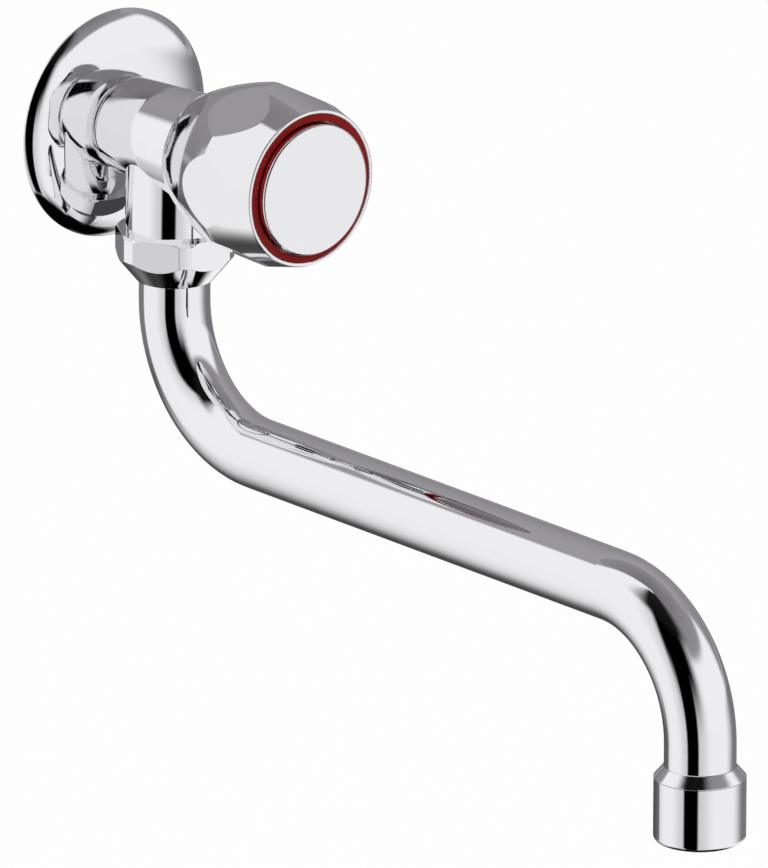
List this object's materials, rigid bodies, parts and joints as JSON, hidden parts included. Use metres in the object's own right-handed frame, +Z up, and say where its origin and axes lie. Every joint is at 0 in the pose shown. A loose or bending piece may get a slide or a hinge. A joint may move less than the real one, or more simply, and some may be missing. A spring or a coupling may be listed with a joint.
{
  "type": "wall faucet",
  "caption": "Wall-mounted chrome faucet: round flange, barrel with a faceted screw-down knob, union nut and a swivelling Z-bent tube spout that ends in an aerator.",
  "frame": {"origin": "where the axis of the barrel meets the wall's face", "axes": "+Z is up, -Y points out of the wall towards the person at the tap, and +X is to the right of someone who faces the wall"},
  "size_m": [0.0628, 0.2675, 0.171],
  "materials": {
    "polished_chrome": "polished",
    "knob_chrome": "polished",
    "cap_chrome": "polished",
    "red_plastic": "glossy",
    "brass": "turned",
    "black_rubber": "moulded",
    "white_plastic": "moulded",
    "stainless_steel": "plain"
  },
  "bodies": {
    "tap": {"wall_flange": "polished_chrome", "tap_body": "polished_chrome", "bonnet_gasket": "black_rubber", "bonnet": "brass", "union_nut": "polished_chrome"},
    "handle": {"spindle": "brass", "spindle_o_rings": "black_rubber", "thrust_washer": "white_plastic", "spindle_clip": "stainless_steel", "handle_knob": "knob_chrome", "handle_insert": "brass", "handle_screw": "stainless_steel", "index_ring": "red_plastic", "handle_cap": "cap_chrome"},
    "valve": {"valve_plunger": "brass", "seat_washer": "black_rubber", "washer_screw": "brass"},
    "spout": {"spout_ferrule": "brass", "spout_o_rings": "black_rubber", "slip_ring": "white_plastic", "spout_tube": "polished_chrome", "outlet_collar": "polished_chrome", "aerator_shell": "polished_chrome", "aerator_gasket": "black_rubber", "aerator_screen": "stainless_steel", "aerator_insert": "white_plastic"}
  },
  "joints": [
    {"name": "handle_turn", "type": "hinge", "parent": "tap", "child": "handle", "pos_m": [0, -0.05, 0], "axis": [0, -1, 0], "range_deg": [0, 540]},
    {"name": "valve_lift", "type": "slide", "parent": "tap", "child": "valve", "axis": [0, -1, 0], "range_m": [0, 0.00375]},
    {"name": "spout_swivel", "type": "hinge", "parent": "tap", "child": "spout", "pos_m": [0, -0.0256, -0.03], "axis": [0, 0, 1], "range_deg": [-90, 90]}
  ],
  "couplings": [
    {"joint": "valve_lift", "follows": "handle_turn", "m_per_rad": 0.00039789}
  ]
}
